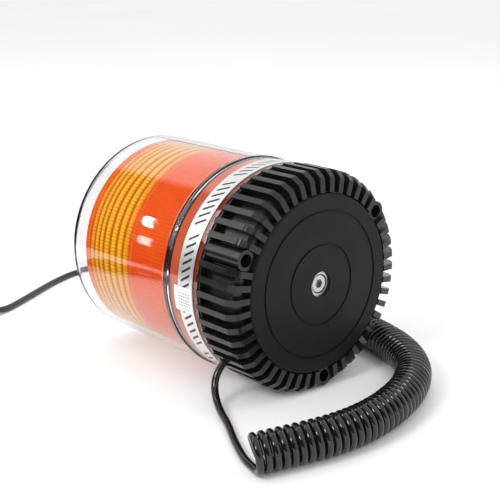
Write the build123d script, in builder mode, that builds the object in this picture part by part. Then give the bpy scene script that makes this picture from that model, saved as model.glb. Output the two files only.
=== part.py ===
from build123d import *
from math import cos, pi, radians, sin, tan
import os

# Magnetic warning beacon, lying on its side on Z = 0, with a curly 12 V lead and a lighter plug.
# Millimetres, +Z up. The lamp's axis runs along X at the height AXIS_Z: the magnet face looks
# towards +X and the closed end of the clear cover towards -X. The lead leaves the base on its
# -Y side, curls round the magnet face and runs behind the lamp to the plug at -X, -Y.
# A station s is a distance from the magnet face along the lamp's axis.

# --- Driving dimensions of the lamp ---
LENGTH = 148.0  # magnet face to the cover's closed end
BODY_R = 61.0  # fins and cover bead, which the lamp lies on
BASE_DEPTH = 30.0  # magnet face to the mouth of the cover
FACE_X = LENGTH / 2
AXIS_Z = BODY_R

# Base housing
CORE_R = 55.6  # bottom of the gaps between the fins
CORE_WALL = 2.6
FIN_COUNT = 48
FIN_T = 3.3
FIN_PHASE = 23.4  # polar angle of the first boss
FIN_INNER_R = 49.5  # where the ribs on the face stop, round the rubber disc
BOSS_COUNT = 3
BOSS_PITCH_R = 54.5
BOSS_R = 5.5
BOSS_FRONT = 3.0
BOSS_WELL_R = 3.5
SCREW_SEAT = 22.0  # station of the screw heads' shoulder
SCREW_R = 2.0
FLANGE_T = 1.5
FLANGE_R = 59.6
FLOOR_S = 16.0  # inside face of the base's floor
FLOOR_T = 2.4
FACE_SEAT_S = 4.5  # ring that the rubber disc lies on

# Magnet
BOOT_R = 48.9
BOOT_T = 1.5
POT_R = 44.2
POT_FRONT = BOOT_T + 0.05
POT_BACK = FLOOR_S - FLOOR_T - 0.1
POT_SHELL = 2.2
POLE_R = 9.0
M6_R = 3.0
M6_HOLE_R = 3.15

# Clear cover and lens
SKIRT_R = 60.2
COVER_R = 60.7
COVER_INNER_R = 58.6
COVER_END_T = 2.2
BEAD_START = 54.5
BEAD_END = 59.5
LENS_SKIRT_R = 58.3
LENS_R = 57.9
LENS_INNER_R = 55.4
LENS_END = 138.3
LENS_END_T = 2.5
LENS_CORNER_R = 4.0
SEAL_SEAT_R = 57.4
RINGS_START = 93.2
WIDE_RINGS, WIDE_PITCH = 4, 6.3
NARROW_RINGS, NARROW_PITCH = 4, 4.4
LENS_RING_DEPTH = 0.6
LENS_POST_R = 3.6
LENS_POST_END = 43.0
LABEL_START, LABEL_END = 34.0, 46.0
LABEL_T = 0.2

# Circuit board and what stands on it
BOARD_R = 47.5
BOARD_BOTTOM = 18.5
BOARD_TOP = 20.1
BOARD_HOLE_R = 6.8
TUBE_FOOT = 57.0  # top of the flash tube's pillar
TUBE_R = 3.2
TUBE_BEND_R = 8.0
TUBE_BEND_S = 104.0

# Lead
CORD_D = 4.0
COIL_D = 20.5
GLAND_S = 25.0
GLAND_ANGLE = FIN_PHASE - 8.5 * 360 / FIN_COUNT  # middle of a gap between two fins
GLAND_MOUTH_R = 60.0

# Lighter plug, lying along -Y; its stations t run forward from the back of its body
PLUG_GRIP_R = 11.2
PLUG_BARREL_R = 10.4
PLUG_INNER_R = 8.6
PLUG_GRIP_END = 30.0
PLUG_BARREL_END = 58.0
PLUG_RELIEF_L = 24.0
PLUG_PLACE = Vector(-153.4, -120.0, PLUG_GRIP_R)
FUSE_R = 3.2
FUSE_BACK, FUSE_FRONT = 32.2, 62.2
ROCKER_T, ROCKER_UP = 16.0, 8.6  # its pivot, forward and up from the plug's axis
ROCKER_TILT = 8.0
ROCKER_R = 7.2
ARM_PIVOT_T, ARM_PIVOT_R = 34.5, 7.6

# Route of the lead: straight piece, curly piece (centreline) and straight piece
NEAR_POINTS = [
    (49.0, -45.77, 22.115),
    (49.0, -51.1, 17.59),
    (50.3, -54.4, 9.5),
    (55.5, -57.0, 3.2),
    (65.0, -61.0, 2.0),
    (78.0, -68.0, 2.0),
    (92.0, -76.5, 2.0),
    (105.0, -83.5, 2.0),
    (116.0, -88.6, 2.0),
    (126.0, -90.9, 2.0),
]
COIL_POINTS = [
    (125.5, -93.0, COIL_D / 2),
    (129.5, -76.0, COIL_D / 2),
    (134.5, -52.0, COIL_D / 2),
    (134.7, -27.0, COIL_D / 2),
    (128.5, 0.0, COIL_D / 2),
    (118.0, 24.0, COIL_D / 2),
    (102.0, 45.0, COIL_D / 2),
    (80.0, 60.0, COIL_D / 2),
    (55.0, 68.0, COIL_D / 2),
    (33.0, 72.0, COIL_D / 2),
    (12.0, 74.0, COIL_D / 2),
]
FAR_POINTS = [
    (15.0, 73.8, 2.0),
    (-3.0, 76.5, 2.0),
    (-28.0, 81.5, 2.0),
    (-62.0, 88.0, 2.0),
    (-102.0, 91.0, 2.0),
    (-140.0, 86.0, 2.0),
    (-173.0, 73.0, 2.0),
    (-196.0, 51.0, 2.0),
    (-203.0, 24.0, 2.0),
    (-192.5, -2.0, 2.0),
    (-179.0, -25.0, 2.0),
    (-166.0, -47.0, 2.0),
    (-159.0, -60.0, 2.0),
    (-155.9, -70.5, 3.6),
    (-154.1, -80.0, 7.6),
    (-153.4, -88.5, PLUG_GRIP_R),
    (-153.4, -95.98, PLUG_GRIP_R),
]

PROFILE = Plane(origin=(FACE_X, 0, AXIS_Z), x_dir=(-1, 0, 0), z_dir=(0, 1, 0))
LAMP_AXIS = Axis((FACE_X, 0, AXIS_Z), (1, 0, 0))
PLUG_PROFILE = Plane(origin=PLUG_PLACE, x_dir=(0, -1, 0), z_dir=(-1, 0, 0))
PLUG_AXIS = Axis(PLUG_PLACE, (0, -1, 0))

os.makedirs("parts", exist_ok=True)


def save(part, name):
    """Label a finished piece and write it as its own STEP file."""
    part.label = name
    export_step(part, f"parts/{name}.step")


def across(s):
    """Plane square to the lamp's axis at station s, its normal towards the cover's end."""
    return Plane(origin=(FACE_X - s, 0, AXIS_Z), x_dir=(0, -1, 0), z_dir=(-1, 0, 0))


def place(s, radius, angle):
    """Point at station s, at a radius and a polar angle about the lamp's axis."""
    polar = Vector(radius * cos(radians(angle)), radius * sin(radians(angle)), 0)
    return across(s).from_local_coords(polar)


def board_spot(radius, angle):
    """Plane on the circuit board, its x direction pointing away from the lamp's axis."""
    origin = place(BOARD_TOP, radius, angle)
    outward = origin - place(BOARD_TOP, 0, 0)
    return Plane(origin=origin, x_dir=outward, z_dir=(-1, 0, 0))


def radial_plane(s, angle, radius):
    """Plane facing outwards at a radius, for what passes through the base's wall."""
    outward = place(s, 1, angle) - place(s, 0, 0)
    return Plane(origin=place(s, radius, angle), x_dir=(1, 0, 0), z_dir=outward)


def plug_across(t):
    """Plane square to the plug's axis at station t, its normal towards the tip."""
    return Plane(origin=PLUG_PLACE + Vector(0, -t, 0), x_dir=(1, 0, 0), z_dir=(0, -1, 0))


def outline(plane, *points):
    """Face inside a closed outline of (station, radius) points."""
    with BuildSketch(plane) as sketch:
        with BuildLine():
            Polyline(*points, close=True)
        make_face()
    return sketch.sketch


def band(plane, start, end, inner, outer):
    """Rectangular half-section of a ring between two stations and two radii."""
    return outline(plane, (start, inner), (end, inner), (end, outer), (start, outer))


def ring(start, end, inner, outer):
    """Ring about the lamp's axis between two stations."""
    with BuildPart() as made:
        revolve(band(PROFILE, start, end, inner, outer), axis=LAMP_AXIS)
    return made.part


def can(radius, height, places):
    """Upright cylinders with chamfered tops on the board, at (radius, angle) places."""
    with BuildPart() as made:
        for spot in places:
            with BuildSketch(board_spot(*spot)):
                Circle(radius)
            extrude(amount=height)
        chamfer(made.edges().filter_by(GeomType.CIRCLE).group_by(Axis.X)[0], radius / 10)
    return made.part


def axial(body_r, body_l, places):
    """Resistor- or diode-shaped pieces lying along the tangent on two bent legs."""
    lift, leg_r, reach = body_r + 0.6, 0.35, body_l / 2 + 1.2
    with BuildPart() as made:
        for spot in places:
            on_board = board_spot(*spot)
            for radius, half in ((body_r, body_l / 2), (leg_r, reach + leg_r)):
                centre = on_board.from_local_coords(Vector(0, 0, lift))
                with BuildSketch(Plane(centre, z_dir=on_board.y_dir)):
                    Circle(radius)
                extrude(amount=half, both=True)
            with BuildSketch(on_board):
                with GridLocations(0, 2 * reach, 1, 2):
                    Circle(1.3 * leg_r)
            extrude(amount=lift + 1.3 * leg_r)
    return made.part


def corner_radii(points):
    """Arc radius at each corner of a route: 0.45 of the shorter run over tan(half the turn)."""
    radii = []
    for before, corner, after in zip(points, points[1:], points[2:]):
        inward, outward = Vector(corner) - Vector(before), Vector(after) - Vector(corner)
        turn = radians(inward.get_angle(outward))
        radii.append(0.45 * min(inward.length, outward.length) / tan(turn / 2))
    return radii


def tube(name, points, diameter):
    """Round cord along straight runs joined by tangent arcs."""
    radii = corner_radii(points)
    with BuildPart() as made:
        with BuildLine():
            route = FilletPolyline(*points, radius=radii)
        with BuildSketch(Plane(origin=route @ 0, z_dir=route % 0)):
            Circle(diameter / 2)
        sweep()
    share = made.part.volume / (pi * diameter**2 / 4 * route.length)
    print(f"{name}: {route.length:.1f} mm, volume over section times length {share:.4f}")
    print("  arc radii", [round(radius, 1) for radius in radii])
    return made.part


# --- Base housing: finned cup with three screw bosses ---
FIN_PITCH = 360 / FIN_COUNT
with BuildPart() as base_housing:
    with BuildSketch(across(0)):
        for step in range(FIN_COUNT):
            if step % (FIN_COUNT // BOSS_COUNT):
                angle = FIN_PHASE + step * FIN_PITCH
                with PolarLocations((FIN_INNER_R + BODY_R) / 2, 1, start_angle=angle):
                    Rectangle(BODY_R - FIN_INNER_R + 2, FIN_T)
    extrude(amount=BASE_DEPTH)
    with BuildSketch(PROFILE):
        with BuildLine():
            fin_edge = FilletPolyline(
                (0.4, FIN_INNER_R), (1.3, 57.4), (6.2, BODY_R), (BASE_DEPTH, BODY_R),
                radius=3.0,
            )
            Polyline(
                fin_edge @ 1,
                (BASE_DEPTH, CORE_R - 1),
                (FACE_SEAT_S + 1.5, CORE_R - 1),
                (FACE_SEAT_S + 1.5, FIN_INNER_R),
                fin_edge @ 0,
            )
        make_face()
    revolve(axis=LAMP_AXIS, mode=Mode.INTERSECT)
    # core: outer wall, ring behind the rubber disc, pot pocket and floor, flange at the mouth
    core_inner = CORE_R - CORE_WALL
    pocket_r = POT_R + 0.2
    pocket_outer = pocket_r + CORE_WALL
    revolve(
        outline(
            PROFILE,
            (FACE_SEAT_S, pocket_r),
            (FACE_SEAT_S, CORE_R - 2),
            (FACE_SEAT_S + 2, CORE_R),
            (BASE_DEPTH - FLANGE_T, CORE_R),
            (BASE_DEPTH - FLANGE_T, FLANGE_R),
            (BASE_DEPTH, FLANGE_R),
            (BASE_DEPTH, core_inner),
            (FACE_SEAT_S + CORE_WALL, core_inner),
            (FACE_SEAT_S + CORE_WALL, pocket_outer),
            (FLOOR_S, pocket_outer),
            (FLOOR_S, M6_HOLE_R),
            (FLOOR_S - FLOOR_T, M6_HOLE_R),
            (FLOOR_S - FLOOR_T, pocket_r),
        ),
        axis=LAMP_AXIS,
    )
    # bosses, their wells open towards the magnet face, and the screws' clearance holes
    with BuildSketch(across(BOSS_FRONT)):
        with PolarLocations(BOSS_PITCH_R, BOSS_COUNT, start_angle=FIN_PHASE):
            Circle(BOSS_R)
    extrude(amount=BASE_DEPTH - BOSS_FRONT)
    with BuildSketch(across(0)):
        with PolarLocations(BOSS_PITCH_R, BOSS_COUNT, start_angle=FIN_PHASE):
            Circle(BOSS_WELL_R)
    extrude(amount=SCREW_SEAT, mode=Mode.SUBTRACT)
    with BuildSketch(across(SCREW_SEAT)):
        with PolarLocations(BOSS_PITCH_R, BOSS_COUNT, start_angle=FIN_PHASE):
            Circle(SCREW_R + 0.2)
    extrude(amount=BASE_DEPTH - SCREW_SEAT, mode=Mode.SUBTRACT)
    # room between two fins for the gland's collar, and the gland's hole in the wall
    with BuildSketch(radial_plane(GLAND_S, GLAND_ANGLE, CORE_R)):
        Circle(3.45)
    extrude(amount=BODY_R - CORE_R + 1, mode=Mode.SUBTRACT)
    with BuildSketch(radial_plane(GLAND_S, GLAND_ANGLE, CORE_R - 4)):
        Circle(3.05)
    extrude(amount=5, mode=Mode.SUBTRACT)
save(base_housing.part, "base_housing")

# --- Magnet: rubber disc, steel pot, ferrite ring, screw and nut ---
with BuildPart() as magnet_boot:
    revolve(
        outline(
            PROFILE,
            (0.0, 7.0),
            (0.0, BOOT_R - 0.8),
            (0.8, BOOT_R),
            (FACE_SEAT_S - 0.02, BOOT_R),
            (FACE_SEAT_S - 0.02, POT_R + 0.4),
            (BOOT_T, POT_R + 0.4),
            (BOOT_T, 7.0),
        ),
        axis=LAMP_AXIS,
    )
    for groove_r in (22.0, 40.0):
        revolve(
            band(PROFILE, -0.5, 0.6, groove_r - 0.7, groove_r + 0.7),
            axis=LAMP_AXIS,
            mode=Mode.SUBTRACT,
        )
save(magnet_boot.part, "magnet_boot")

POT_INSIDE = POT_BACK - POT_SHELL
with BuildPart() as magnet_cup:
    revolve(band(PROFILE, POT_FRONT, POT_BACK, M6_HOLE_R, POT_R), axis=LAMP_AXIS)
    revolve(
        band(PROFILE, POT_FRONT, POT_INSIDE, POLE_R, POT_R - POT_SHELL),
        axis=LAMP_AXIS,
        mode=Mode.SUBTRACT,
    )
    # recess for the screw's head in the pole
    revolve(band(PROFILE, POT_FRONT, 5.0, 0, 5.4), axis=LAMP_AXIS, mode=Mode.SUBTRACT)
save(magnet_cup.part, "magnet_cup")
save(ring(POT_FRONT + 0.1, POT_INSIDE, POLE_R + 0.3, POT_R - POT_SHELL - 0.3), "ring_magnet")

NUT_END = FLOOR_S + 4.0
with BuildPart() as magnet_screw:
    revolve(
        outline(PROFILE, (1.8, 0), (1.8, 4.6), (2.2, 5.0), (5.0, 5.0), (5.0, M6_R),
                (NUT_END + 1, M6_R), (NUT_END + 1, 0)),
        axis=LAMP_AXIS,
    )
    with BuildSketch(across(1.8)):
        RegularPolygon(2.6, 6)
    extrude(amount=2.0, mode=Mode.SUBTRACT)
save(magnet_screw.part, "magnet_screw")

with BuildPart() as magnet_nut:
    with BuildSketch(across(FLOOR_S)):
        RegularPolygon(5.7, 6)
        Circle(M6_R + 0.05, mode=Mode.SUBTRACT)
    extrude(amount=NUT_END - FLOOR_S)
save(magnet_nut.part, "magnet_nut")

# --- Cover screws, one in each boss well, threaded into the lens's posts ---
with BuildPart() as cover_screws:
    with BuildSketch(across(SCREW_SEAT - 3.2)):
        with PolarLocations(BOSS_PITCH_R, BOSS_COUNT, start_angle=FIN_PHASE):
            Circle(BOSS_WELL_R - 0.25)
    extrude(amount=3.2)
    with BuildSketch(across(SCREW_SEAT)):
        with PolarLocations(BOSS_PITCH_R, BOSS_COUNT, start_angle=FIN_PHASE):
            Circle(SCREW_R)
    extrude(amount=LENS_POST_END - 3 - SCREW_SEAT)
    for cross_turn in (0, 90):
        with BuildSketch(across(SCREW_SEAT - 3.2)):
            with PolarLocations(BOSS_PITCH_R, BOSS_COUNT, start_angle=FIN_PHASE):
                Rectangle(4.2, 1.0, rotation=cross_turn)
        extrude(amount=1.6, mode=Mode.SUBTRACT)
save(cover_screws.part, "cover_screws")

# --- Amber lens: skirt, seal seat, barrel, stepped rings and rounded end ---
with BuildPart() as amber_lens:
    narrow_start = RINGS_START + WIDE_RINGS * WIDE_PITCH
    ring_edges = [RINGS_START + step * WIDE_PITCH for step in range(WIDE_RINGS)]
    ring_edges += [narrow_start + step * NARROW_PITCH for step in range(NARROW_RINGS)]
    steps = []
    for at in ring_edges:
        steps += [(at, LENS_R), (at + 0.4, LENS_R - LENS_RING_DEPTH)]
    with BuildSketch(PROFILE):
        with BuildLine():
            skirt = Polyline(
                (BASE_DEPTH + 3, LENS_INNER_R),
                (BASE_DEPTH + 3, core_inner - 1.5),
                (BASE_DEPTH, core_inner - 1.5),
                (BASE_DEPTH, LENS_SKIRT_R),
                (BEAD_START, LENS_SKIRT_R),
                (BEAD_START, SEAL_SEAT_R),
                (BEAD_END + 0.2, SEAL_SEAT_R),
                (BEAD_END + 0.2, LENS_R),
                *steps,
                (LENS_END - LENS_CORNER_R, LENS_R),
            )
            corner = ThreePointArc(
                skirt @ 1,
                (LENS_END - LENS_CORNER_R * (1 - sin(pi / 4)),
                 LENS_R - LENS_CORNER_R * (1 - sin(pi / 4))),
                (LENS_END, LENS_R - LENS_CORNER_R),
            )
            inside = FilletPolyline(
                (LENS_END - LENS_END_T, 0),
                (LENS_END - LENS_END_T, LENS_INNER_R),
                skirt @ 0,
                radius=LENS_CORNER_R - 2,
            )
            Polyline(corner @ 1, (LENS_END, 0), inside @ 0)
        make_face()
    revolve(axis=LAMP_AXIS)
    with BuildSketch(across(BASE_DEPTH)):
        with PolarLocations(BOSS_PITCH_R, BOSS_COUNT, start_angle=FIN_PHASE):
            Circle(LENS_POST_R)
    extrude(amount=LENS_POST_END - BASE_DEPTH)
    with BuildSketch(across(BASE_DEPTH)):
        with PolarLocations(BOSS_PITCH_R, BOSS_COUNT, start_angle=FIN_PHASE):
            Circle(SCREW_R + 0.03)
    extrude(amount=LENS_POST_END - 2 - BASE_DEPTH, mode=Mode.SUBTRACT)
save(amber_lens.part, "amber_lens")

save(ring(BEAD_START + 0.1, BEAD_END, SEAL_SEAT_R + 0.1, COVER_INNER_R - 0.1), "seal_ring")

# --- Clear cover: skirt, bead, barrel and flat end with a rounded edge ---
with BuildPart() as clear_cover:
    with BuildSketch(PROFILE):
        with BuildLine():
            outside = FilletPolyline(
                (BASE_DEPTH, SKIRT_R),
                (BEAD_START, SKIRT_R),
                (BEAD_START + 1.2, BODY_R),
                (BEAD_END - 1.0, BODY_R),
                (BEAD_END, COVER_R),
                (LENGTH, COVER_R),
                (LENGTH, 0),
                radius=[0.5, 0.5, 0.5, 0.5, 3.0],
            )
            hollow = FilletPolyline(
                (LENGTH - COVER_END_T, 0),
                (LENGTH - COVER_END_T, COVER_INNER_R),
                (BASE_DEPTH, COVER_INNER_R),
                radius=1.5,
            )
            Line(outside @ 1, hollow @ 0)
            Line(hollow @ 1, outside @ 0)
        make_face()
    revolve(axis=LAMP_AXIS)
save(clear_cover.part, "clear_cover")

# --- Foil band round the cover's mouth, and a small sticker over it ---
LABEL_R = SKIRT_R + 0.03
save(ring(LABEL_START, LABEL_END, LABEL_R, LABEL_R + LABEL_T), "label_band")

with BuildPart() as batch_sticker:
    sticker_r = LABEL_R + LABEL_T + 0.03
    with BuildSketch(across(LABEL_START + 0.5)):
        Circle(sticker_r + 0.15)
        Circle(sticker_r, mode=Mode.SUBTRACT)
        with BuildLine():
            wedge = [Vector(0, 0)] + [Vector(90, 0).rotate(Axis.Z, angle) for angle in (-12, 1)]
            Polyline(*wedge, close=True)
        make_face(mode=Mode.INTERSECT)
    extrude(amount=14.5)
save(batch_sticker.part, "batch_sticker")

# --- Circuit board on four standoffs ---
STANDOFF_R, STANDOFF_ANGLE = 40.0, 30.0
STANDOFF_PLACES = [(STANDOFF_R, STANDOFF_ANGLE + quarter * 90) for quarter in range(4)]
with BuildPart() as board_standoffs:
    for spot in STANDOFF_PLACES:
        with BuildSketch(Plane(place(FLOOR_S, *spot), z_dir=(-1, 0, 0))):
            Circle(3.0)
            Circle(1.5, mode=Mode.SUBTRACT)
        extrude(amount=BOARD_BOTTOM - FLOOR_S)
save(board_standoffs.part, "board_standoffs")

with BuildPart() as circuit_board:
    with BuildSketch(across(BOARD_BOTTOM)):
        Circle(BOARD_R)
        Circle(BOARD_HOLE_R, mode=Mode.SUBTRACT)
        with PolarLocations(STANDOFF_R, 4, start_angle=STANDOFF_ANGLE):
            Circle(1.6, mode=Mode.SUBTRACT)
    extrude(amount=BOARD_TOP - BOARD_BOTTOM)
save(circuit_board.part, "circuit_board")

with BuildPart() as board_screws:
    for spot in STANDOFF_PLACES:
        with BuildSketch(Plane(place(FLOOR_S + 0.2, *spot), z_dir=(-1, 0, 0))):
            Circle(1.4)
        extrude(amount=BOARD_TOP - FLOOR_S)
        with BuildSketch(Plane(place(BOARD_TOP, *spot), z_dir=(-1, 0, 0))):
            Circle(2.8)
        extrude(amount=1.8)
save(board_screws.part, "board_screws")

# --- Electronics on the board ---
CORE_W, CORE_D, CORE_H, YOKE, CENTRE_LEG = 26.0, 12.0, 20.0, 4.0, 6.0
transformer_spot = board_spot(30.0, 0.0)
with BuildPart() as transformer_core:
    with BuildSketch(transformer_spot):
        Rectangle(CORE_D, CORE_W)
    extrude(amount=CORE_H)
    with BuildSketch(transformer_spot.offset(YOKE)):
        Rectangle(CORE_D, CORE_W - 2 * 3.0)
        Rectangle(CORE_D, CENTRE_LEG, mode=Mode.SUBTRACT)
    extrude(amount=CORE_H - 2 * YOKE, mode=Mode.SUBTRACT)
save(transformer_core.part, "transformer_core")

with BuildPart() as inverter_transformer:
    with BuildSketch(transformer_spot.offset(YOKE + 0.1)):
        RectangleRounded(CORE_D + 7, CORE_W - 6.4, 2.5)
        Rectangle(CORE_D + 0.2, CENTRE_LEG + 0.2, mode=Mode.SUBTRACT)
    extrude(amount=CORE_H - 2 * YOKE - 0.2)
save(inverter_transformer.part, "inverter_transformer")

save(can(8.0, 26.0, [(29.0, 200.0)]), "storage_capacitor")
save(can(4.0, 11.5, [(34.0, 160.0), (22.0, 245.0)]), "timing_capacitors")
save(can(5.5, 17.0, [(30.0, 95.0)]), "trigger_transformer")
save(axial(1.25, 6.5, [(20.0 + 5 * row, 60.0) for row in range(4)]), "resistors")
save(axial(1.0, 4.0, [(24.0, 130.0), (30.0, 130.0)]), "rectifier_diodes")

SINK_W, SINK_D, SINK_H, SINK_PLATE = 22.0, 9.0, 22.0, 2.0
sink_spot = board_spot(36.0, 262.0)
with BuildPart() as heat_sink:
    with BuildSketch(sink_spot):
        with Locations((SINK_D / 2 - SINK_PLATE / 2, 0)):
            Rectangle(SINK_D, SINK_W)
        with Locations((SINK_D / 2 + SINK_PLATE / 2, 0)):
            with GridLocations(0, 5.1, 1, 4):
                Rectangle(SINK_D, 3.2, mode=Mode.SUBTRACT)
    extrude(amount=SINK_H)
save(heat_sink.part, "heat_sink")

with BuildPart() as power_transistor:
    tab_spot = Plane(
        sink_spot.from_local_coords(Vector(-SINK_PLATE / 2 - 0.65, 0, 2.5)),
        x_dir=sink_spot.x_dir,
        z_dir=sink_spot.z_dir,
    )
    with BuildSketch(tab_spot):
        Rectangle(1.3, 10.0)
    extrude(amount=15.5)
    with BuildSketch(tab_spot):
        with Locations((-2.0, 0)):
            Rectangle(4.0, 10.0)
    extrude(amount=9.0)
    with BuildSketch(sink_spot):
        with Locations((-SINK_PLATE / 2 - 2.65, 0)):
            with GridLocations(0, 2.54, 1, 3):
                Rectangle(0.6, 0.8)
    extrude(amount=2.5)
save(power_transistor.part, "power_transistor")

# --- Flash tube on its pillar ---
with BuildPart() as tube_pillar:
    revolve(
        outline(PROFILE, (BOARD_TOP, 11.0), (BOARD_TOP, 15.5), (BOARD_TOP + 2, 15.5),
                (BOARD_TOP + 4, 13.0), (TUBE_FOOT - 3, 13.0), (TUBE_FOOT - 3, 14.5),
                (TUBE_FOOT, 14.5), (TUBE_FOOT, 0), (TUBE_FOOT - 3, 0), (TUBE_FOOT - 3, 11.0)),
        axis=LAMP_AXIS,
    )
    with BuildSketch(across(TUBE_FOOT - 4)):
        with GridLocations(0, 2 * TUBE_BEND_R, 1, 2):
            Circle(1.0)
    extrude(amount=5, mode=Mode.SUBTRACT)
save(tube_pillar.part, "tube_pillar")

with BuildPart() as flash_tube:
    with BuildLine(PROFILE):
        Line((TUBE_FOOT + 3, TUBE_BEND_R), (TUBE_BEND_S, TUBE_BEND_R))
        ThreePointArc(
            (TUBE_BEND_S, TUBE_BEND_R), (TUBE_BEND_S + TUBE_BEND_R, 0), (TUBE_BEND_S, -TUBE_BEND_R)
        )
        Line((TUBE_BEND_S, -TUBE_BEND_R), (TUBE_FOOT + 3, -TUBE_BEND_R))
    with BuildSketch(across(TUBE_FOOT + 3)):
        with Locations((0, TUBE_BEND_R)):
            Circle(TUBE_R)
            Circle(TUBE_R - 0.9, mode=Mode.SUBTRACT)
    sweep()
save(flash_tube.part, "flash_tube")

with BuildPart() as tube_electrodes:
    for start, end, radius in (
        (TUBE_FOOT, TUBE_FOOT + 3, TUBE_R),
        (TUBE_FOOT + 3, TUBE_FOOT + 10, TUBE_R - 1.1),
    ):
        with BuildSketch(across(start)):
            with GridLocations(0, 2 * TUBE_BEND_R, 1, 2):
                Circle(radius)
        extrude(amount=end - start)
save(tube_electrodes.part, "tube_electrodes")

with BuildPart() as tube_leads:
    with BuildSketch(across(BOARD_TOP)):
        with GridLocations(0, 2 * TUBE_BEND_R, 1, 2):
            Circle(0.8)
    extrude(amount=TUBE_FOOT - BOARD_TOP)
save(tube_leads.part, "tube_leads")

WIRE_R = 0.35
CLIP_T = 0.7
CLIP_START = TUBE_FOOT + 12
CLIP_COUNT, CLIP_PITCH = 5, 8.0
WIRE_AT = TUBE_R + 0.05 + CLIP_T / 2  # the wire's distance from the middle of a leg
with BuildPart() as trigger_wire:
    for clip in range(CLIP_COUNT):
        with BuildSketch(across(CLIP_START + CLIP_PITCH * clip)):
            with GridLocations(0, 2 * TUBE_BEND_R, 1, 2):
                Circle(TUBE_R + 0.05 + CLIP_T)
                Circle(TUBE_R + 0.05, mode=Mode.SUBTRACT)
        extrude(amount=CLIP_T)
    with BuildSketch(across(CLIP_START)):
        with GridLocations(0, 2 * (TUBE_BEND_R + WIRE_AT), 1, 2):
            Circle(WIRE_R)
    extrude(amount=CLIP_PITCH * (CLIP_COUNT - 1) + CLIP_T)
    # link between the two legs, and the tail down to the pillar
    link_top = place(CLIP_START + CLIP_T / 2, TUBE_BEND_R - WIRE_AT, 90)
    with BuildSketch(Plane(link_top, z_dir=(0, 0, -1))):
        Circle(WIRE_R - 0.05)
    extrude(amount=2 * (TUBE_BEND_R - WIRE_AT))
    with BuildSketch(across(TUBE_FOOT)):
        with Locations((0, TUBE_BEND_R + WIRE_AT)):
            Circle(WIRE_R)
    extrude(amount=CLIP_START - TUBE_FOOT)
save(trigger_wire.part, "trigger_wire")

# --- Gland between two fins, the lead's end inside it, and the wires to the board ---
gland_centre = radial_plane(GLAND_S, GLAND_ANGLE, 0)
gland_profile = Plane(gland_centre.origin, x_dir=gland_centre.z_dir, z_dir=gland_centre.y_dir)
gland_axis = Axis(gland_centre.origin, gland_centre.z_dir)
with BuildPart() as cord_grommet:
    revolve(
        outline(gland_profile, (50.6, 2.05), (50.6, 4.0), (52.7, 4.0), (52.7, 3.0),
                (CORE_R + 0.15, 3.0), (CORE_R + 0.15, 3.35), (57.6, 3.35),
                (GLAND_MOUTH_R, 2.7), (GLAND_MOUTH_R, 2.05)),
        axis=gland_axis,
    )
save(cord_grommet.part, "cord_grommet")

TAIL_END_R = 46.0
with BuildPart() as cord_tail:
    with BuildSketch(radial_plane(GLAND_S, GLAND_ANGLE, TAIL_END_R)):
        Circle(CORD_D / 2)
    extrude(amount=GLAND_MOUTH_R - TAIL_END_R)
save(cord_tail.part, "cord_tail")

with BuildPart() as supply_wires:
    for side_angle in (-1.3, 1.3):
        angle = GLAND_ANGLE + side_angle
        with BuildLine():
            wire = FilletPolyline(
                place(GLAND_S, TAIL_END_R, angle),
                place(GLAND_S, TAIL_END_R - 5, angle),
                place(BOARD_TOP, TAIL_END_R - 5, angle),
                radius=2.5,
            )
        with BuildSketch(Plane(origin=wire @ 0, z_dir=wire % 0)):
            Circle(0.65)
        sweep()
save(supply_wires.part, "supply_wires")

# --- The free lead: straight, curly (as one fat tube) and straight again ---
save(tube("near_lead", NEAR_POINTS, CORD_D), "near_lead")
save(tube("curly_cord", COIL_POINTS, COIL_D), "curly_cord")
save(tube("far_lead", FAR_POINTS, CORD_D), "far_lead")

# --- Lighter plug ---
RIB_COUNT = 6
with BuildPart() as plug_strain_relief:
    ribs = []
    for rib in range(RIB_COUNT):
        back = -PLUG_RELIEF_L + rib * (PLUG_RELIEF_L - 3) / RIB_COUNT
        radius = 2.9 + 1.7 * rib / RIB_COUNT
        ribs += [(back, radius), (back + 2.2, radius + 0.2), (back + 2.2, radius - 0.5),
                 (back + 3.4, radius - 0.5)]
    revolve(
        outline(PLUG_PROFILE, *ribs, (-3.0, 5.2), (-0.05, 5.6), (-0.05, 3.1), (3.1, 3.1),
                (3.1, 4.0), (4.0, 4.0), (4.0, 0), (-PLUG_RELIEF_L, 0)),
        axis=PLUG_AXIS,
    )
save(plug_strain_relief.part, "plug_strain_relief")

WEB_T = 15.0
SCREW_X, SCREW_T = 5.6, 6.2
SLOT_START, SLOT_END, SLOT_W = 33.0, 51.5, 4.4


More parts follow.
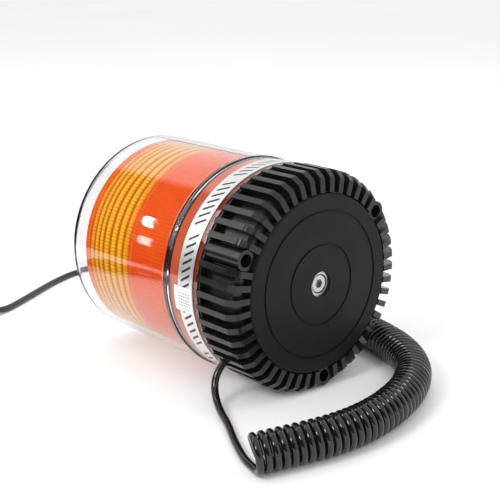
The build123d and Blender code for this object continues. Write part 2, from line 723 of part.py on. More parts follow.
def plug_shell(side):
    """Half of the plug's body: side 1 is the upper half with the switch, side -1 the lower."""
    with BuildPart() as shell:
        revolve(
            outline(PLUG_PROFILE, (0, 3.2), (0, 6.5), (2, 9.2), (8, PLUG_GRIP_R),
                    (PLUG_GRIP_END - 1, PLUG_GRIP_R), (PLUG_GRIP_END + 0.5, PLUG_BARREL_R),
                    (PLUG_BARREL_END, PLUG_BARREL_R), (PLUG_BARREL_END, PLUG_INNER_R),
                    (WEB_T + 1.5, PLUG_INNER_R), (WEB_T + 1.5, 2.0), (WEB_T, 2.0),
                    (WEB_T, PLUG_INNER_R), (3, PLUG_INNER_R), (3, 3.2)),
            axis=PLUG_AXIS,
        )
        screw_plane = Plane(PLUG_PLACE + Vector(0, -SCREW_T, 0), x_dir=(1, 0, 0), z_dir=(0, 0, 1))
        with BuildSketch(screw_plane.offset(-7)):
            with GridLocations(2 * SCREW_X, 0, 2, 1):
                Circle(2.0)
        extrude(amount=14)
        with BuildSketch(screw_plane.offset(-6)):
            with GridLocations(2 * SCREW_X, 0, 2, 1):
                Circle(0.95)
        extrude(amount=11.2, mode=Mode.SUBTRACT)
        with BuildSketch(screw_plane.offset(-12)):
            with GridLocations(2 * SCREW_X, 0, 2, 1):
                Circle(1.9)
        extrude(amount=6, mode=Mode.SUBTRACT)
        # slots for the side contacts, across the whole barrel
        with BuildSketch(plug_across(SLOT_START)):
            Rectangle(3 * PLUG_BARREL_R, SLOT_W)
        extrude(amount=SLOT_END - SLOT_START, mode=Mode.SUBTRACT)
        # opening, pivot hole and lamp hole for the switch, in the upper half
        rocker_centre = PLUG_PLACE + Vector(0, -ROCKER_T, ROCKER_UP)
        with BuildSketch(Plane(rocker_centre + Vector(0, 0, -3.4), x_dir=(1, 0, 0), z_dir=(0, 0, 1))):
            Rectangle(8.6, 2 * ROCKER_R + 0.6)
        extrude(amount=10, mode=Mode.SUBTRACT)
        with BuildSketch(Plane(rocker_centre + Vector(-5.4, 0, 0), z_dir=(1, 0, 0))):
            Circle(1.0)
        extrude(amount=10.8, mode=Mode.SUBTRACT)
        with BuildSketch(Plane(PLUG_PLACE + Vector(0, -27, 7), z_dir=(0, 0, 1))):
            Circle(1.55)
        extrude(amount=6, mode=Mode.SUBTRACT)
        split(
            bisect_by=Plane(PLUG_PLACE, z_dir=(0, 0, 1)),
            keep=Keep.TOP if side > 0 else Keep.BOTTOM,
        )
    return shell.part


save(plug_shell(1), "plug_shell_upper")
save(plug_shell(-1), "plug_shell_lower")

with BuildPart() as plug_screws:
    screw_foot = Plane(PLUG_PLACE + Vector(0, -SCREW_T, -8), x_dir=(1, 0, 0), z_dir=(0, 0, 1))
    with BuildSketch(screw_foot):
        with GridLocations(2 * SCREW_X, 0, 2, 1):
            Circle(1.8)
    extrude(amount=2)
    with BuildSketch(screw_foot.offset(2)):
        with GridLocations(2 * SCREW_X, 0, 2, 1):
            Circle(0.9)
    extrude(amount=10.8)
save(plug_screws.part, "plug_screws")

with BuildPart() as plug_nose_ring:
    revolve(
        outline(PLUG_PROFILE, (52.5, 5.2), (52.5, 8.5), (PLUG_BARREL_END + 0.02, 8.5),
                (PLUG_BARREL_END + 0.02, 9.8), (65, 9.8), (68, 7.4), (68, 2.9), (64, 2.9),
                (64, 5.2)),
        axis=PLUG_AXIS,
    )
save(plug_nose_ring.part, "plug_nose_ring")

with BuildPart() as centre_contact:
    revolve(
        outline(PLUG_PROFILE, (FUSE_FRONT, 0), (FUSE_FRONT, 4.6), (63.7, 4.6), (63.7, 2.6),
                (71.0, 2.6), (72.3, 1.4), (72.3, 0)),
        axis=PLUG_AXIS,
    )
save(centre_contact.part, "centre_contact")

with BuildPart() as plug_fuse:
    cap = 5.5
    revolve(
        outline(PLUG_PROFILE, (FUSE_BACK, 0), (FUSE_BACK, FUSE_R), (FUSE_BACK + cap, FUSE_R),
                (FUSE_BACK + cap, FUSE_R - 0.3), (FUSE_FRONT - cap, FUSE_R - 0.3),
                (FUSE_FRONT - cap, FUSE_R), (FUSE_FRONT, FUSE_R), (FUSE_FRONT, 0)),
        axis=PLUG_AXIS,
    )
save(plug_fuse.part, "plug_fuse")

SEAT_END = WEB_T + 1.5 + 1.4
with BuildPart() as spring_seat:
    revolve(band(PLUG_PROFILE, WEB_T + 1.52, SEAT_END, 0, 4.4), axis=PLUG_AXIS)
save(spring_seat.part, "spring_seat")

SPRING_R, SPRING_WIRE_R, SPRING_TURNS = 2.9, 0.4, 6
with BuildPart() as contact_spring:
    spring_start = SEAT_END + SPRING_WIRE_R + 0.1
    spring_length = FUSE_BACK - SEAT_END - 2 * SPRING_WIRE_R - 0.2
    with BuildLine():
        turns = Helix(
            pitch=spring_length / SPRING_TURNS,
            height=spring_length,
            radius=SPRING_R,
            center=PLUG_PLACE + Vector(0, -spring_start, 0),
            direction=(0, -1, 0),
        )
    with BuildSketch(Plane(origin=turns @ 0, z_dir=turns % 0)):
        Circle(SPRING_WIRE_R)
    sweep(is_frenet=True)
save(contact_spring.part, "contact_spring")


def side_contact(side):
    """Bowed leaf on a round root, at the +X side (side 1) or the -X side (-1) of the plug."""
    leaf = Plane(PLUG_PLACE, x_dir=(0, -1, 0), z_dir=(0, 0, 1 if side > 0 else -1))
    with BuildPart() as contact:
        with BuildSketch(leaf):
            with BuildLine() as bow:
                FilletPolyline(
                    (ARM_PIVOT_T, ARM_PIVOT_R), (37.0, 8.2), (43.0, 11.5), (46.0, 11.5), (50.6, 8.4),
                    radius=1.5,
                )
                offset(amount=0.35)
            make_face()
            with Locations((ARM_PIVOT_T, ARM_PIVOT_R)):
                Circle(1.0)
        extrude(amount=SLOT_W / 2 - 0.3, both=True)
    return contact.part


save(side_contact(1), "side_contact_left")
save(side_contact(-1), "side_contact_right")

with BuildPart() as switch_rocker:
    tilt = radians(ROCKER_TILT)
    rocker_plane = Plane(
        origin=PLUG_PLACE + Vector(0, -ROCKER_T, ROCKER_UP),
        x_dir=(0, -cos(tilt), sin(tilt)),
        z_dir=(-1, 0, 0),
    )
    with BuildSketch(rocker_plane):
        Circle(ROCKER_R)
        with BuildLine():
            Polyline((-8, 3.9), (0, 2.7), (8, 3.9), (8, -2.0), (-8, -2.0), close=True)
        make_face(mode=Mode.INTERSECT)
    extrude(amount=4.0, both=True)
    with BuildSketch(rocker_plane):
        Circle(0.93)
    extrude(amount=5.2, both=True)
save(switch_rocker.part, "switch_rocker")

with BuildPart() as plug_lamp:
    with BuildSketch(Plane(PLUG_PLACE + Vector(0, -27, 8.7), z_dir=(0, 0, 1))):
        Circle(1.5)
    extrude(amount=2.9)
    fillet(plug_lamp.edges().group_by(Axis.Z)[-1], 0.8)
save(plug_lamp.part, "plug_lamp")
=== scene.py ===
from math import cos, pi, radians, sin, tan

import bmesh
import bpy
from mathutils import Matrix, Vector


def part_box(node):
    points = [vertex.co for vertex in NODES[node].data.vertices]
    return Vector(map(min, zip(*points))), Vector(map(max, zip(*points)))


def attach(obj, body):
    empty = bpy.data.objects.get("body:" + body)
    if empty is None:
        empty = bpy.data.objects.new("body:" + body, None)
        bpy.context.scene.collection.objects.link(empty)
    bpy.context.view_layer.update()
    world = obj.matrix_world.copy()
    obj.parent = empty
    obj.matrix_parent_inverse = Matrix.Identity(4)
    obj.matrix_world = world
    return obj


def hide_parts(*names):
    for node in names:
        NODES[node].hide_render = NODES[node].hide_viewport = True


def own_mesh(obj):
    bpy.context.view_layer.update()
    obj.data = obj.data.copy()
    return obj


# Magnetic warning beacon lying on its side, its curly 12 V lead and the lighter plug.
# Metres, +Z up. The lamp's axis runs along X at AXIS_Z and its magnet face looks towards +X.
# A station is a distance from the magnet face along that axis; a polar angle is measured about
# the axis from -Y, upwards. Stations and radii of the lens and the labels are in millimetres.

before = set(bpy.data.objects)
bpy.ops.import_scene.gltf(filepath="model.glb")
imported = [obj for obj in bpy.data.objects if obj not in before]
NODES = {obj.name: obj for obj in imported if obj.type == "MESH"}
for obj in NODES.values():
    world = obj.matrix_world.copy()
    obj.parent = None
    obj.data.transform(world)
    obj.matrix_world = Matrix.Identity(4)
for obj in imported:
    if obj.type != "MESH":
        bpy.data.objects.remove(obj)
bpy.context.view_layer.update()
FACE_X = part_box("magnet_boot")[1].x
AXIS_Z = sum(corner.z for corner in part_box("clear_cover")) / 2
MM = 0.001

RINGS_START, RINGS_END = 93.2, 134.3
WIDE_RINGS, WIDE_PITCH, NARROW_RINGS, NARROW_PITCH = 4, 6.3, 4, 4.4
NARROW_START = RINGS_START + WIDE_RINGS * WIDE_PITCH
RING_DEPTH = 0.6
RIB_COUNT, RIB_DEPTH = 180, 0.3
RIB_PROFILE = (0.0, 0.5, 1.0, 0.5)  # share of the depth at equal steps across one rib


# --- Node helpers -----------------------------------------------------------------------------


class Tree:
    """A node tree, with short calls for the nodes that the materials and the world share."""

    def __init__(self, tree):
        self.tree = tree

    def link(self, source, target):
        self.tree.links.new(source, target)

    def node(self, kind, **settings):
        made = self.tree.nodes.new(kind)
        for setting, value in settings.items():
            setattr(made, setting, value)
        return made

    def math(self, operation, *values, clamp=False):
        made = self.node("ShaderNodeMath", operation=operation, use_clamp=clamp)
        for socket, value in zip(made.inputs, values):
            if isinstance(value, (int, float)):
                socket.default_value = value
            else:
                self.link(value, socket)
        return made.outputs[0]

    def map_range(self, value, source, target, **settings):
        """Value carried from the source range to the target range, each (start, end)."""
        made = self.node("ShaderNodeMapRange", **settings)
        for name, (start, end) in (("From", source), ("To", target)):
            made.inputs[name + " Min"].default_value = start
            made.inputs[name + " Max"].default_value = end
        self.link(value, made.inputs["Value"])
        return made.outputs[0]

    def blend(self, factor, first, second):
        made = self.node("ShaderNodeMix", data_type="RGBA")
        self.link(factor, made.inputs["Factor"])
        for index, value in ((6, first), (7, second)):
            if isinstance(value, tuple):
                made.inputs[index].default_value = (*value, 1)
            else:
                self.link(value, made.inputs[index])
        return made.outputs[2]


class Nodes(Tree):
    """A material's node tree, built round its Principled shader."""

    def __init__(self, name):
        self.material = bpy.data.materials.new(name)
        self.material.use_nodes = True
        super().__init__(self.material.node_tree)
        self.shader = self.tree.nodes["Principled BSDF"]
        self.output = self.tree.nodes["Material Output"]

    def set(self, **sockets):
        for socket, value in sockets.items():
            self.shader.inputs[socket.replace("_", " ")].default_value = value

    def feed(self, socket, source):
        self.link(source, self.shader.inputs[socket])

    def place(self):
        return self.node("ShaderNodeTexCoord").outputs["Object"]

    def noise(self, scale, detail, place=None):
        made = self.node("ShaderNodeTexNoise")
        made.inputs["Scale"].default_value = scale
        made.inputs["Detail"].default_value = detail
        self.link(place or self.place(), made.inputs["Vector"])
        return made.outputs["Fac"]

    def spread(self, noise, low, high):
        """Noise, which mostly keeps between 0.3 and 0.7, drawn out between low and high."""
        return self.map_range(noise, (0.3, 0.7), (low, high))

    def bump(self, height, distance, strength):
        made = self.node("ShaderNodeBump")
        made.inputs["Distance"].default_value = distance
        made.inputs["Strength"].default_value = strength
        self.link(height, made.inputs["Height"])
        self.feed("Normal", made.outputs["Normal"])

    def lamp_place(self):
        """Station and polar angle of a point, in millimetres and radians."""
        split = self.node("ShaderNodeSeparateXYZ")
        self.link(self.place(), split.inputs[0])
        x, y, z = split.outputs
        station = self.math("MULTIPLY", self.math("SUBTRACT", FACE_X, x), 1 / MM)
        height = self.math("SUBTRACT", z, AXIS_Z)
        return station, self.math("ARCTAN2", height, self.math("MULTIPLY", y, -1.0))

    def between(self, value, low, high, soft=0.15):
        """1 where value lies between low and high, 0 outside, with soft edges."""
        rise = self.math("DIVIDE", self.math("SUBTRACT", value, low), soft, clamp=True)
        fall = self.math("DIVIDE", self.math("SUBTRACT", high, value), soft, clamp=True)
        return self.math("MULTIPLY", rise, fall)

    def let_lamps_through(self, tint):
        """Shadow rays pass, tinted, so that lamps reach what is behind the shell."""
        clear = self.node("ShaderNodeBsdfTransparent")
        clear.inputs["Color"].default_value = (*tint, 1)
        path = self.node("ShaderNodeLightPath")
        mix = self.node("ShaderNodeMixShader")
        self.link(path.outputs["Is Shadow Ray"], mix.inputs["Fac"])
        self.link(self.shader.outputs[0], mix.inputs[1])
        self.link(clear.outputs[0], mix.inputs[2])
        self.link(mix.outputs[0], self.output.inputs["Surface"])


# --- Materials --------------------------------------------------------------------------------


def moulded(name, dark, light, rough, patch=60, grain=1400, depth=0.00003, **sockets):
    """Moulded, cast or plated surface: two close tones in patches, uneven gloss, fine grain."""
    made = Nodes(name)
    patches = made.noise(patch, 4)
    made.feed("Base Color", made.blend(patches, dark, light))
    made.feed("Roughness", made.spread(patches, rough * 0.82, rough * 1.2))
    made.bump(made.noise(grain, 2), depth, 0.35)
    made.set(**sockets)
    return made.material


def brushed(name, dark, light, rough):
    """Drawn or turned metal: fine lines across Z, from noise squeezed along Z."""
    made = Nodes(name)
    mapping = made.node("ShaderNodeMapping")
    mapping.inputs["Scale"].default_value = (1, 1, 14)
    made.link(made.place(), mapping.inputs["Vector"])
    lines = made.noise(500, 3, mapping.outputs[0])
    made.feed("Base Color", made.blend(lines, dark, light))
    made.feed("Roughness", made.spread(lines, rough * 0.7, rough * 1.3))
    made.bump(lines, 0.00002, 0.3)
    made.set(Metallic=1.0)
    return made.material


def clear_plastic(name, tint, rough, ior):
    made = Nodes(name)
    made.feed("Roughness", made.spread(made.noise(25, 2), 0.0, rough))
    made.set(Base_Color=(*tint, 1), IOR=ior, Transmission_Weight=1.0)
    made.let_lamps_through((0.97, 0.98, 0.98))
    return made.material


def amber_plastic():
    """Red-orange body. Painted light: orange-gold where the coarse rings gather the light, broken
    by the ribs into dashes, with painted shade in the lines between the rings; painted shade darker
    towards the base; a faint painted glow.
    """
    mouth_end, skirt_end = 35.0, 57.0
    dash = 0.4  # share of the rings' painted light that comes and goes with the ribs
    made = Nodes("amber_plastic")
    station, angle = made.lamp_place()
    past = made.math("SUBTRACT", station, RINGS_START)
    wide = made.math("DIVIDE", past, WIDE_PITCH)
    narrow = made.math("DIVIDE", made.math("SUBTRACT", station, NARROW_START), NARROW_PITCH)
    is_narrow = made.math("GREATER_THAN", station, NARROW_START)
    in_narrow = made.math("MULTIPLY", made.math("FRACT", narrow), is_narrow)
    is_wide = made.math("SUBTRACT", 1.0, is_narrow)
    in_wide = made.math("MULTIPLY", made.math("FRACT", wide), is_wide)
    along = made.math("ADD", in_narrow, in_wide)
    crest = made.between(along, 0.04, 0.98, soft=0.3)
    turn = made.math("MULTIPLY", angle, RIB_COUNT / (2 * pi))
    rib = made.between(made.math("FRACT", turn), 0.1, 0.95, soft=0.3)
    dashed = made.math("ADD", made.math("MULTIPLY", rib, dash), 1 - dash)
    lit = made.math("MULTIPLY", crest, dashed)
    body = made.blend(made.noise(38, 3), (0.6, 0.037, 0.004), (0.7, 0.11, 0.005))
    # Painted light on the coarse rings: orange-gold crests where they gather the light, with
    # painted shade in the darker lines between them.
    painted_ring_light = made.blend(lit, (0.4, 0.05, 0.003), (0.83, 0.46, 0.009))
    rings = made.between(station, RINGS_START - 3, RINGS_END + 1, soft=9.0)
    barrel = made.blend(rings, body, painted_ring_light)
    # Painted shade: the lens is darker brown towards the base, over the skirt, and darker still in
    # the mouth.
    in_skirt = made.between(station, 0.0, skirt_end, soft=0.5)
    skirt = made.blend(in_skirt, barrel, (0.46, 0.077, 0.03))
    in_mouth = made.between(station, 0.0, mouth_end, soft=0.5)
    colour = made.blend(in_mouth, skirt, (0.2, 0.03, 0.015))
    made.feed("Base Color", colour)
    # Painted glow: the lens gives off its own colour faintly as light, standing in for light that
    # comes through it.
    made.feed("Emission Color", colour)
    made.set(
        Emission_Strength=0.1, Roughness=0.38, IOR=1.5, Specular_IOR_Level=0.1,
        Specular_Tint=(1.0, 0.55, 0.35, 1.0),
    )
    made.let_lamps_through((1.0, 0.94, 0.92))
    return made.material


def foil_label():
    """Silver-white foil with plain slanted bars in groups, as a stand-in for printed words."""
    radius, middle, first, last = 60.4, 40.0, 36.4, 43.4
    bar_pitch, slant, bars_in_group = 4.4, 0.13, 8.0
    made = Nodes("foil_label")
    station, angle = made.lamp_place()
    lean = made.math("MULTIPLY", made.math("SUBTRACT", station, middle), slant)
    step = made.math("ADD", made.math("MULTIPLY", angle, radius / bar_pitch), lean)
    bar = made.between(made.math("FRACT", step), 0.2, 0.62, soft=0.06)
    group = made.math("FRACT", made.math("DIVIDE", step, bars_in_group))
    shown = made.math("LESS_THAN", group, 0.86)
    inside = made.between(station, first, last)
    mark = made.math("MULTIPLY", made.math("MULTIPLY", bar, shown), inside)
    sheen = made.noise(22, 2)
    foil = made.blend(made.spread(sheen, 0.0, 1.0), (0.52, 0.52, 0.53), (0.8, 0.8, 0.79))
    made.feed("Base Color", made.blend(mark, foil, (0.02, 0.02, 0.02)))
    unprinted = made.math("SUBTRACT", 1.0, mark)
    made.feed("Metallic", made.math("MULTIPLY", unprinted, 0.55))
    made.feed("Roughness", made.spread(sheen, 0.16, 0.3))
    made.bump(made.noise(160, 2), 0.0001, 0.25)
    return made.material


def sticker_paper():
    """White paper with a grid of small grey squares."""
    radius, column_pitch, row_pitch, ink_strength = 60.5, 2.0, 1.7, 0.8
    made = Nodes("sticker_paper")
    station, angle = made.lamp_place()
    column = made.math("FRACT", made.math("DIVIDE", station, column_pitch))
    row = made.math("FRACT", made.math("MULTIPLY", angle, radius / row_pitch))
    dot = made.math("MULTIPLY", made.between(column, 0.12, 0.82), made.between(row, 0.14, 0.8))
    beside = made.between(angle, -0.19, -0.01, soft=0.01)
    field = made.math("MULTIPLY", made.between(station, 36.0, 46.0), beside)
    ink = made.math("MULTIPLY", made.math("MULTIPLY", dot, field), ink_strength)
    paper = made.blend(made.noise(300, 3), (0.7, 0.7, 0.69), (0.8, 0.8, 0.79))
    made.feed("Base Color", made.blend(ink, paper, (0.04, 0.045, 0.045)))
    made.bump(made.noise(900, 3), 0.00005, 0.3)
    made.set(Roughness=0.45)
    return made.material


def board_laminate():
    """Green solder mask with paler tracks under it."""
    made = Nodes("board_laminate")
    copper = made.node("ShaderNodeTexVoronoi", feature="DISTANCE_TO_EDGE")
    copper.inputs["Scale"].default_value = 140
    made.link(made.place(), copper.inputs["Vector"])
    tracks = made.between(copper.outputs["Distance"], 0.06, 0.16, soft=0.03)
    made.feed("Base Color", made.blend(tracks, (0.015, 0.13, 0.045), (0.03, 0.25, 0.07)))
    made.bump(tracks, 0.00003, 0.5)
    made.set(Roughness=0.35)
    return made.material


def winding_tape():
    """Yellow tape, banded by the turns of wire under it."""
    made = Nodes("winding_tape")
    wave = made.node("ShaderNodeTexWave", bands_direction="X")
    wave.inputs["Scale"].default_value = 260
    wave.inputs["Distortion"].default_value = 0.6
    made.link(made.place(), wave.inputs["Vector"])
    bands = wave.outputs["Fac"]
    made.feed("Base Color", made.blend(bands, (0.62, 0.42, 0.05), (0.85, 0.66, 0.12)))
    made.bump(bands, 0.00005, 0.5)
    made.set(Roughness=0.3)
    return made.material


BLACK, SOOT = (0.004, 0.004, 0.0043), (0.009, 0.009, 0.0095)
MATERIALS = {
    "clear_plastic": clear_plastic("clear_plastic", (0.985, 0.99, 0.995), 0.03, 1.49),
    "tube_glass": clear_plastic("tube_glass", (0.97, 0.98, 0.98), 0.05, 1.46),
    "amber_plastic": amber_plastic(),
    "foil_label": foil_label(),
    "sticker_paper": sticker_paper(),
    "board_laminate": board_laminate(),
    "winding_tape": winding_tape(),
    "black_plastic": moulded("black_plastic", BLACK, SOOT, 0.25, grain=1100, depth=0.00005),
    "rubber": moulded("rubber", (0.005, 0.005, 0.0055), (0.01, 0.01, 0.011), 0.5,
                      grain=1800, depth=0.00006, Specular_IOR_Level=0.2),
    "cord_jacket": moulded("cord_jacket", (0.004, 0.004, 0.0045), (0.009, 0.009, 0.0095), 0.13,
                           patch=90, grain=900, depth=0.00002, Specular_IOR_Level=0.6),
    "wire_insulation": moulded("wire_insulation", (0.45, 0.015, 0.01), (0.6, 0.03, 0.02), 0.35),
    "zinc_steel": brushed("zinc_steel", (0.42, 0.42, 0.4), (0.68, 0.68, 0.66), 0.32),
    "ferrite": moulded("ferrite", (0.03, 0.03, 0.032), (0.06, 0.06, 0.062), 0.6, grain=2500),
    "brass_parts": brushed("brass_parts", (0.62, 0.45, 0.17), (0.85, 0.66, 0.3), 0.25),
    "capacitor_sleeve": moulded("capacitor_sleeve", (0.01, 0.02, 0.09), (0.02, 0.035, 0.14), 0.3),
    "component_epoxy": moulded("component_epoxy", BLACK, (0.02, 0.02, 0.021), 0.5),
    "bare_aluminium": brushed("bare_aluminium", (0.62, 0.63, 0.65), (0.83, 0.84, 0.86), 0.35),
    "resistor_lacquer": moulded("resistor_lacquer", (0.5, 0.32, 0.15), (0.62, 0.44, 0.24), 0.3),
    "white_plastic": moulded("white_plastic", (0.74, 0.74, 0.71), (0.83, 0.83, 0.8), 0.4),
    "nickel_contact": brushed("nickel_contact", (0.55, 0.53, 0.49), (0.8, 0.78, 0.74), 0.2),
    "nose_plastic": moulded("nose_plastic", BLACK, SOOT, 0.2),
    "red_lens": moulded("red_lens", (0.6, 0.008, 0.006), (0.8, 0.02, 0.012), 0.12,
                        Transmission_Weight=0.3),
    "red_plastic": moulded("red_plastic", (0.4, 0.008, 0.008), (0.55, 0.016, 0.014), 0.25),
}


def dress_cad_nodes():
    """Every CAD node gets the material of the record's slot that it was packed with."""
    for node in NODES.values():
        for slot in node.material_slots:
            packed = slot.material.name.split(".")[0]
            slot.material = MATERIALS[packed]


def squash_contact_spring():
    """The plug's spring gets a mesh of its own."""
    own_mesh(NODES["contact_spring"])


# --- Lens -------------------------------------------------------------------------------------


def rounded(station, radius, corner, turns):
    """Plain outline points round a corner's centre, at these turns from the axis, in degrees."""
    return [(station + corner * cos(radians(turn)), radius + corner * sin(radians(turn)), 0)
            for turn in turns]


def lens_outline():
    """(station, radius, ribbed) round the lens's half-section, in millimetres."""
    mouth, mouth_inner_r, lip, end, wall = 30.0, 51.5, 3.0, 138.3, 2.5
    barrel_r, inner_r, skirt_r, corner, hub_r = 57.9, 55.4, 58.3, 4.0, 30.0
    seat_start, seat_end, seat_r = 54.5, 59.7, 57.4  # where the seal ring sits
    fine_start, fine_pitch, fine_depth = 60.5, 1.4, 0.22
    outer = [(mouth, mouth_inner_r, 0), (mouth, skirt_r, 0), (seat_start, skirt_r, 0),
             (seat_start, seat_r, 0), (seat_end, seat_r, 0), (seat_end, barrel_r, 0)]
    station = fine_start
    while station < RINGS_START - fine_pitch:
        outer += [(station, barrel_r, 1), (station + 0.8 * fine_pitch, barrel_r - fine_depth, 1)]
        station += fine_pitch
    edges = [RINGS_START + ring * WIDE_PITCH for ring in range(WIDE_RINGS)]
    edges += [NARROW_START + ring * NARROW_PITCH for ring in range(NARROW_RINGS)] + [RINGS_END]
    for start, after in zip(edges, edges[1:]):
        for share in (0.0, 0.12, 0.3, 0.5, 0.7, 0.88):
            hollow = RING_DEPTH * (0.75 * (2 * share - 1) ** 2 + 0.25 * share)
            outer.append((start + share * (after - start), barrel_r - hollow, 1))
    outer += rounded(end - corner, barrel_r - corner, corner,
                     [90 - 11.25 * step for step in range(9)])
    face = [(end, hub_r, 0), (end, 0.0, 0), (end - wall, 0.0, 0), (end - wall, hub_r, 0)]
    inside = rounded(end - wall - corner, inner_r - corner, corner,
                     [22.5 * step for step in range(5)])
    return outer + face + inside + [(mouth + lip, inner_r, 0), (mouth + lip, mouth_inner_r, 0)]


def turned_point(station, radius, angle):
    """Point at a station and a radius, both in millimetres, and a polar angle."""
    y = -radius * MM * cos(angle)
    z = AXIS_Z + radius * MM * sin(angle)
    return Vector((FACE_X - station * MM, y, z))


def turned_row(shape, station, radius, ribbed, segments):
    """Vertices round the axis at one outline point: a single one where it meets the axis."""
    if radius == 0:
        return [shape.verts.new(turned_point(station, 0, 0))]
    row = []
    for segment in range(segments):
        groove = RIB_PROFILE[segment % len(RIB_PROFILE)] * RIB_DEPTH * ribbed
        angle = 2 * pi * segment / segments
        row.append(shape.verts.new(turned_point(station, radius - groove, angle)))
    return row


def build_lens():
    """Lens turned about the lamp's axis, its barrel ribbed lengthways."""
    shape = bmesh.new()
    segments = RIB_COUNT * len(RIB_PROFILE)
    rows = [turned_row(shape, *point, segments) for point in lens_outline()]
    for first, second in zip(rows, rows[1:] + rows[:1]):
        for segment in range(segments):
            after = (segment + 1) % segments
            corners = [first[segment % len(first)], first[after % len(first)],
                       second[after % len(second)], second[segment % len(second)]]
            corners = list(dict.fromkeys(corners))
            if len(corners) > 2:
                shape.faces.new(corners)
    bmesh.ops.recalc_face_normals(shape, faces=shape.faces)
    mesh = bpy.data.meshes.new("lens_amber")
    shape.to_mesh(mesh)
    shape.free()
    mesh.shade_smooth()
    mesh.set_sharp_from_angle(angle=radians(35))
    mesh.materials.append(MATERIALS["amber_plastic"])
    lens = bpy.data.objects.new("lens_amber", mesh)
    bpy.context.scene.collection.objects.link(lens)
    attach(lens, "lamp")
    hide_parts("amber_lens")


# --- Lead -------------------------------------------------------------------------------------

CORD_D = 0.004
LYING_Z = CORD_D / 2  # middle of the cord where it lies on the floor
HELIX_R = 0.00825  # the coil's axis to the middle of the cord
COIL_Z = 0.01035
TURNS = 56
POINTS_PER_TURN = 16
END_TURN = 0.875  # share of the last turn that is made
OPEN_START = 0.06  # the turns are this much wider apart where the coil starts
LEAN_UP, LEAN_OUT = radians(14), radians(12)  # how far the turns lean back from square

NEAR_POINTS = [
    (0.049, -0.04577, 0.022115),
    (0.049, -0.0511, 0.01759),
    (0.0503, -0.0544, 0.0105),
    (0.0555, -0.0573, 0.0052),
    (0.065, -0.062, 0.0026),
    (0.078, -0.068, LYING_Z),
    (0.092, -0.0765, LYING_Z),
    (0.105, -0.0835, LYING_Z),
    (0.116, -0.0886, LYING_Z),
]
COIL_ROUTE = [
    (0.1255, -0.093), (0.1295, -0.076), (0.1345, -0.052), (0.1347, -0.027), (0.1285, 0.0),
    (0.118, 0.024), (0.102, 0.045), (0.08, 0.06), (0.055, 0.068), (0.033, 0.072), (0.012, 0.074),
]
FAR_ROUTE = [
    (-0.003, 0.0765), (-0.028, 0.0815), (-0.062, 0.088), (-0.102, 0.091), (-0.14, 0.086),
    (-0.173, 0.073), (-0.196, 0.051), (-0.203, 0.024), (-0.1925, -0.002), (-0.179, -0.025),
    (-0.166, -0.047), (-0.159, -0.06),
]
PLUG_POINTS = [
    (-0.1559, -0.0705, 0.0036),
    (-0.1541, -0.08, 0.0076),
    (-0.1534, -0.0885, 0.0112),
    (-0.1534, -0.09598, 0.0112),
]
FAR_POINTS = [(0.0085, 0.0735, 0.0024), *((x, y, LYING_Z) for x, y in FAR_ROUTE), *PLUG_POINTS]


def nurbs(name, points, resolution):
    """Curve object of one open quadratic NURBS spline with these control points."""
    curve = bpy.data.curves.new(name, "CURVE")
    curve.dimensions = "3D"
    spline = curve.splines.new("NURBS")
    spline.points.add(len(points) - 1)
    for target, point in zip(spline.points, points):
        target.co = (*point, 1)
    spline.order_u = 3
    spline.use_endpoint_u = True
    spline.resolution_u = resolution
    made = bpy.data.objects.new(name, curve)
    bpy.context.scene.collection.objects.link(made)
    return made


def points_along(points):
    """Points read from the smooth line of a route, and each one's distance from its start."""
    route = nurbs("route", points, resolution=24)
    mesh = bpy.data.meshes.new_from_object(route)
    line = [vertex.co.copy() for vertex in mesh.vertices]
    bpy.data.objects.remove(route)
    bpy.data.meshes.remove(mesh)
    reached = [0.0]
    for before, after in zip(line, line[1:]):
        reached.append(reached[-1] + (after - before).length)
    return line, reached


def helix_points():
    """Left-handed helix round the coil's route, from its underside at the start."""
    line, reached = points_along([(x, y, COIL_Z) for x, y in COIL_ROUTE])
    up = Vector((0, 0, 1))
    count = round((TURNS - 1 + END_TURN) * POINTS_PER_TURN)
    control_r = HELIX_R / cos(pi / POINTS_PER_TURN)
    made, segment = [], 0
    for step in range(count + 1):
        share = step / count
        at = reached[-1] * share * (1 + OPEN_START * (1 - share))
        while segment < len(line) - 2 and reached[segment + 1] < at:
            segment += 1
        run = line[segment + 1] - line[segment]
        forward = run.normalized()
        centre = line[segment] + forward * (at - reached[segment])
        outward = forward.cross(up)
        phase = 2 * pi * step / POINTS_PER_TURN
        height, reach = -cos(phase), sin(phase)
        lean = -tan(LEAN_UP) * height - tan(LEAN_OUT) * reach
        made.append(centre + control_r * (height * up + reach * outward + lean * forward))
    return made


def build_lead():
    """Cord of the lead in one piece: the plain near end, the coil and the run to the plug."""
    lead = nurbs("lead", [*NEAR_POINTS, *helix_points(), *FAR_POINTS], resolution=8)
    lead.data.bevel_depth = CORD_D / 2
    lead.data.bevel_resolution = 3
    lead.data.use_fill_caps = True
    lead.data.materials.append(MATERIALS["cord_jacket"])
    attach(lead, "lamp")
    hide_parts("near_lead", "curly_cord", "far_lead")
    plug = [name for name in NODES if name.startswith(("plug_", "side_contact", "switch_rocker"))]
    plug += ["centre_contact", "contact_spring", "spring_seat"]


# --- Floor, light and camera ------------------------------------------------------------------


def quad(name, corners, material):
    """Object of one four-sided face."""
    mesh = bpy.data.meshes.new(name)
    mesh.from_pydata(corners, [], [(0, 1, 2, 3)])
    mesh.materials.append(material)
    made = bpy.data.objects.new(name, mesh)
    bpy.context.scene.collection.objects.link(made)
    return made


def build_floor():
    """White paper, far wider than the picture."""
    half = 6.0
    made = Nodes("floor_paper")
    made.feed("Base Color", made.blend(made.noise(3, 3), (0.89, 0.89, 0.89), (0.94, 0.94, 0.94)))
    made.bump(made.noise(1500, 2), 0.00002, 0.2)
    made.set(Roughness=0.7, Specular_IOR_Level=0.0)
    corners = [(-half, -half, 0), (half, -half, 0), (half, half, 0), (-half, half, 0)]
    quad("floor", corners, made.material)


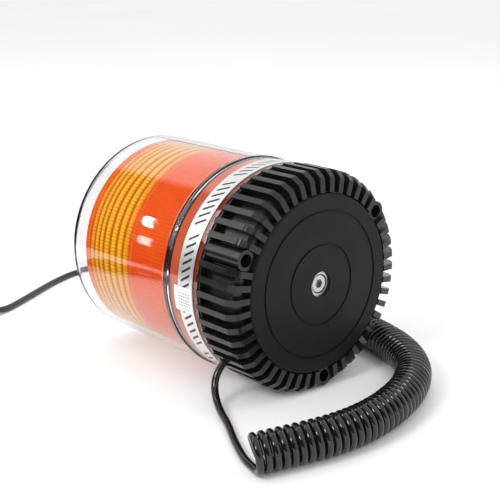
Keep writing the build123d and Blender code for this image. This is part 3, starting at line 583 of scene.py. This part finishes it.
def build_flag():
    """Low dark studio flag at the lamp's front left, seen only in reflections and through glass."""
    away, half_width, height = 0.4, 0.9, Vector((0, 0, 0.1))
    made = Nodes("flag_cloth")
    made.feed("Base Color", made.blend(made.noise(4, 2), (0.01, 0.01, 0.01), (0.02, 0.02, 0.02)))
    made.set(Roughness=1.0, Specular_IOR_Level=0.0)
    towards = Vector((-0.74, -0.67, 0)).normalized()
    side = Vector((-towards.y, towards.x, 0)) * half_width
    foot = towards * away
    corners = [foot - side, foot + side, foot + side + height, foot - side + height]
    flag = quad("flag", corners, made.material)
    flag.visible_camera = False
    flag.visible_diffuse = False
    flag.visible_shadow = False


def build_world():
    """Plain studio: an even pale dome, which glossy and clear surfaces see as a bright ceiling,
    back wall and far left wall, with a dark room in front of the lamp."""
    world = bpy.data.worlds.new("studio")
    bpy.context.scene.world = world
    world.use_nodes = True
    studio = Tree(world.node_tree)
    split = studio.node("ShaderNodeSeparateXYZ")
    studio.link(studio.node("ShaderNodeTexCoord").outputs["Generated"], split.inputs[0])

    def wall(axis, start, end):
        """0 before start and 1 past end, along one axis of the direction looked in."""
        return studio.map_range(split.outputs[axis], (start, end), (0, 1),
                                interpolation_type="SMOOTHSTEP")

    bright = studio.math("MAXIMUM", wall("Z", 0.66, 0.72), wall("Y", -0.12, 0.0))
    bright = studio.math("MAXIMUM", bright, wall("X", -0.87, -0.93))
    pale = (0.95, 0.95, 0.95)
    reflected = studio.blend(bright, (0.012, 0.012, 0.012), pale)
    refracted = studio.blend(bright, (0.06, 0.06, 0.06), pale)
    path = studio.node("ShaderNodeLightPath")
    light = studio.blend(path.outputs["Is Glossy Ray"], (0.98, 0.985, 0.99), reflected)
    light = studio.blend(path.outputs["Is Transmission Ray"], light, refracted)
    shown = studio.blend(path.outputs["Is Camera Ray"], light, (0.9, 0.905, 0.91))
    studio.link(shown, studio.tree.nodes["Background"].inputs["Color"])


def area_light(name, place, target, size, watts):
    data = bpy.data.lights.new(name, "AREA")
    data.shape = "RECTANGLE"
    data.size, data.size_y = size
    data.energy = watts
    lamp = bpy.data.objects.new(name, data)
    lamp.location = place
    lamp.rotation_euler = (Vector(target) - Vector(place)).to_track_quat("-Z", "Y").to_euler()
    bpy.context.scene.collection.objects.link(lamp)
    lamp.visible_camera = False
    return lamp


def build_lamps():
    """Three lamps that light everything; two small strips and a tall card that only shine."""
    for name, place, target, width, watts, shines in (
        ("softbox", (-0.75, 0.55, 1.25), (0, 0, AXIS_Z), 0.9, 3, False),
        ("fill", (0.2, -1.05, 0.85), (0.03, -0.1, 0), 0.36, 6, True),
        ("side", (0.85, -0.6, 0.45), (0.1, -0.05, 0), 0.7, 3, False),
    ):
        lamp = area_light(name, place, target, (width, width), watts)
        lamp.visible_glossy = shines
        lamp.visible_transmission = False
    for name, place, size, watts in (
        ("strip_high", (-0.9526, -0.68, 0.479), (0.025, 0.15), 0.35),
        ("strip_low", (-0.9498, -0.7858, 0.2121), (0.032, 0.12), 0.07),
        ("card", (-0.37, -0.32, 0.39), (0.15, 0.55), 0.8),
    ):
        beside_axis = (place[0], 0, AXIS_Z)
        area_light(name, place, beside_axis, size, watts).visible_diffuse = False


def build_camera():
    """Long lens, a little above the lamp, turned to its magnet face and its side."""
    data = bpy.data.cameras.new("camera")
    data.lens = 82.27
    data.sensor_width = 36
    camera = bpy.data.objects.new("camera", data)
    camera.location = (0.48661, -0.40779, 0.23987)
    forward = Vector((-0.72827, 0.63162, -0.26589))
    camera.rotation_mode = "QUATERNION"
    camera.rotation_quaternion = forward.to_track_quat("-Z", "Y")
    bpy.context.scene.collection.objects.link(camera)
    bpy.context.scene.camera = camera


bpy.context.scene.view_settings.view_transform = "Standard"
build_camera()
dress_cad_nodes()
squash_contact_spring()
build_lead()
build_lens()
build_floor()
build_flag()
build_world()
build_lamps()
